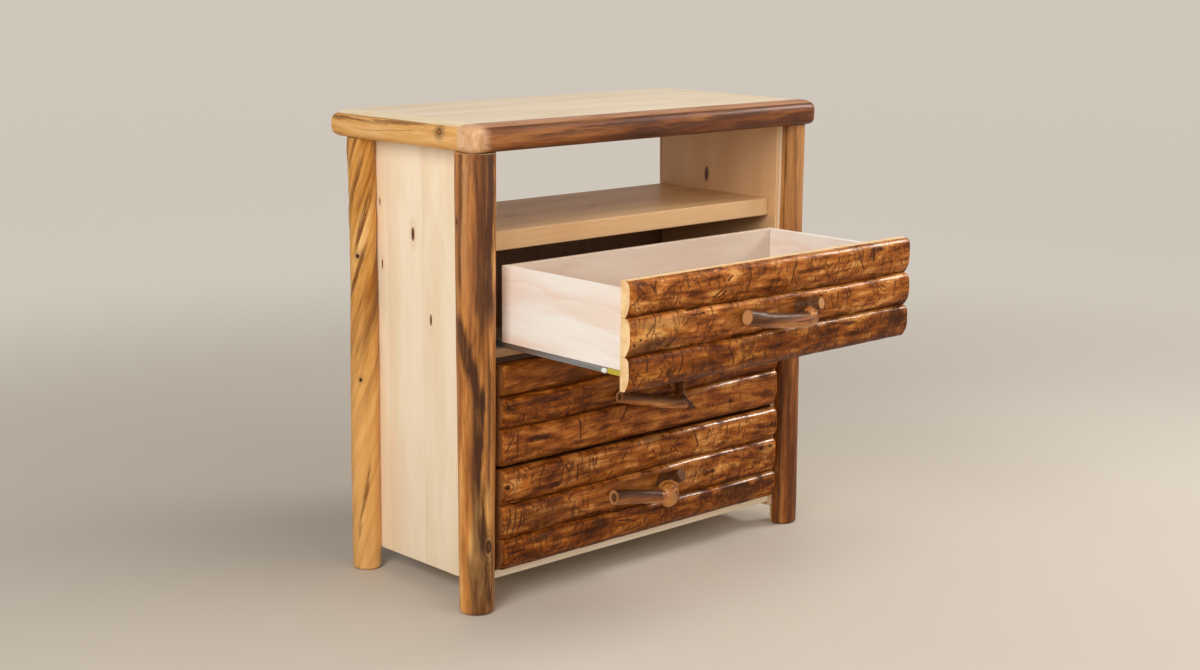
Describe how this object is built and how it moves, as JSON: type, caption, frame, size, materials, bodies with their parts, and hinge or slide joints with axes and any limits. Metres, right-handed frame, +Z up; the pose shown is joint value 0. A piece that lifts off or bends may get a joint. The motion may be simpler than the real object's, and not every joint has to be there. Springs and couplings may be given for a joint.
{
  "type": "media chest",
  "caption": "Rustic log-framed media chest with an open shelf bay above half-log drawers that pull out on telescopic runners by twig handles.",
  "frame": {"origin": "on the floor, under the centre of the chest's bounding box as it stands with the upper drawer pulled out", "axes": "+Z up through the top, +X to the right seen from the front, -Y out of the front, the way the drawers pull"},
  "size_m": [1.0256, 0.882, 1.0063],
  "materials": {
    "peeled_log": "satin lacquer over peeled log",
    "edge_log": "satin lacquer over half log",
    "pale_plank": "satin lacquer over edge-glued plank",
    "box_board": "smooth sanded board",
    "slat_face": "satin lacquer over peeled half log",
    "twig": "satin lacquer over peeled branch",
    "runner_steel": "zinc plated"
  },
  "bodies": {
    "carcass": {"post_front_left": "peeled_log", "post_front_right": "peeled_log", "post_rear_left": "peeled_log", "post_rear_right": "peeled_log", "side_panel_left": "pale_plank", "side_panel_right": "pale_plank", "bottom_board": "pale_plank", "media_shelf": "pale_plank", "back_panel": "pale_plank", "divider_rail_upper": "pale_plank", "divider_rail_lower": "pale_plank", "top_panel": "pale_plank", "top_front_log": "edge_log", "top_left_log": "edge_log", "top_right_log": "edge_log", "upper_slide_left_cabinet_rail": "runner_steel", "upper_slide_right_cabinet_rail": "runner_steel", "middle_slide_left_cabinet_rail": "runner_steel", "middle_slide_right_cabinet_rail": "runner_steel", "lower_slide_left_cabinet_rail": "runner_steel", "lower_slide_right_cabinet_rail": "runner_steel"},
    "upper_drawer": {"upper_drawer_side_left": "box_board", "upper_drawer_side_right": "box_board", "upper_drawer_back": "box_board", "upper_drawer_sub_front": "box_board", "upper_drawer_bottom": "box_board", "upper_drawer_slat_top": "slat_face", "upper_drawer_slat_middle": "slat_face", "upper_drawer_slat_bottom": "slat_face", "upper_drawer_handle": "twig", "upper_slide_left_drawer_rail": "runner_steel", "upper_slide_right_drawer_rail": "runner_steel"},
    "upper_mid_rails": {"upper_slide_left_mid_rail": "runner_steel", "upper_slide_right_mid_rail": "runner_steel"},
    "middle_drawer": {"middle_drawer_side_left": "box_board", "middle_drawer_side_right": "box_board", "middle_drawer_back": "box_board", "middle_drawer_sub_front": "box_board", "middle_drawer_bottom": "box_board", "middle_drawer_slat_top": "slat_face", "middle_drawer_slat_middle": "slat_face", "middle_drawer_slat_bottom": "slat_face", "middle_drawer_handle": "twig", "middle_slide_left_drawer_rail": "runner_steel", "middle_slide_right_drawer_rail": "runner_steel"},
    "middle_mid_rails": {"middle_slide_left_mid_rail": "runner_steel", "middle_slide_right_mid_rail": "runner_steel"},
    "lower_drawer": {"lower_drawer_side_left": "box_board", "lower_drawer_side_right": "box_board", "lower_drawer_back": "box_board", "lower_drawer_sub_front": "box_board", "lower_drawer_bottom": "box_board", "lower_drawer_slat_top": "slat_face", "lower_drawer_slat_middle": "slat_face", "lower_drawer_slat_bottom": "slat_face", "lower_drawer_handle": "twig", "lower_slide_left_drawer_rail": "runner_steel", "lower_slide_right_drawer_rail": "runner_steel"},
    "lower_mid_rails": {"lower_slide_left_mid_rail": "runner_steel", "lower_slide_right_mid_rail": "runner_steel"}
  },
  "joints": [
    {"name": "upper_drawer_slide", "type": "slide", "parent": "carcass", "child": "upper_drawer", "axis": [0, -1, 0], "range_m": [-0.37, 0]},
    {"name": "upper_mid_slide", "type": "slide", "parent": "carcass", "child": "upper_mid_rails", "axis": [0, -1, 0], "range_m": [-0.185, 0]},
    {"name": "middle_drawer_slide", "type": "slide", "parent": "carcass", "child": "middle_drawer", "axis": [0, -1, 0], "range_m": [0, 0.37]},
    {"name": "middle_mid_slide", "type": "slide", "parent": "carcass", "child": "middle_mid_rails", "axis": [0, -1, 0], "range_m": [0, 0.185]},
    {"name": "lower_drawer_slide", "type": "slide", "parent": "carcass", "child": "lower_drawer", "axis": [0, -1, 0], "range_m": [0, 0.37]},
    {"name": "lower_mid_slide", "type": "slide", "parent": "carcass", "child": "lower_mid_rails", "axis": [0, -1, 0], "range_m": [0, 0.185]}
  ],
  "couplings": [
    {"joint": "upper_mid_slide", "follows": "upper_drawer_slide", "ratio": 0.5},
    {"joint": "middle_mid_slide", "follows": "middle_drawer_slide", "ratio": 0.5},
    {"joint": "lower_mid_slide", "follows": "lower_drawer_slide", "ratio": 0.5}
  ]
}
